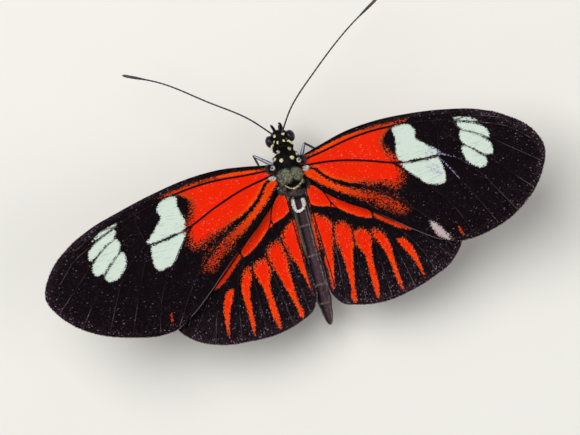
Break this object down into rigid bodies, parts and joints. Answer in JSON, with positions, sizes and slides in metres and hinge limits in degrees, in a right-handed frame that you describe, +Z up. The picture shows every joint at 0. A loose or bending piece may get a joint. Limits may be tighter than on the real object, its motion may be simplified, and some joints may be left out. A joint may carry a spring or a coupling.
{
  "type": "doris longwing butterfly",
  "caption": "Life-size doris longwing butterfly, red form, a still model standing on its legs with its black, red and white wings held open.",
  "frame": {"origin": "on the floor, under the middle of the box round the whole insect", "axes": "+X towards the insect's right wing tip, +Y towards the head, +Z up"},
  "size_m": [0.0798, 0.0468, 0.0201],
  "materials": {
    "wing_scales": "matt scales: brown-black ground with red-orange and white markings",
    "body_hair": "black hair and scales with pale yellow dots and grey-olive patches",
    "abdomen_scales": "satin grey-brown scales, black along the back",
    "eye": "glossy near-black compound eye with a violet sheen",
    "feeler": "black ringed feeler with a slender club",
    "leg": "black scaled leg with a pale line",
    "tongue": "dark smooth coiled tongue"
  },
  "bodies": {
    "root": {"abdomen": "abdomen_scales", "antenna_left": "feeler", "antenna_right": "feeler", "eye_left": "eye", "eye_right": "eye", "foreleg_left": "leg", "foreleg_right": "leg", "forewing_left": "wing_scales", "forewing_right": "wing_scales", "head": "body_hair", "hind_leg_foot_left": "leg", "hind_leg_foot_right": "leg", "hind_leg_shin_left": "leg", "hind_leg_shin_right": "leg", "hind_leg_thigh_left": "leg", "hind_leg_thigh_right": "leg", "hindwing_left": "wing_scales", "hindwing_right": "wing_scales", "middle_leg_foot_left": "leg", "middle_leg_foot_right": "leg", "middle_leg_shin_left": "leg", "middle_leg_shin_right": "leg", "middle_leg_thigh_left": "leg", "middle_leg_thigh_right": "leg", "palp_left": "body_hair", "palp_right": "body_hair", "proboscis": "tongue", "prothorax": "body_hair", "tegula_left": "body_hair", "tegula_right": "body_hair", "thorax": "body_hair"}
  },
  "joints": []
}
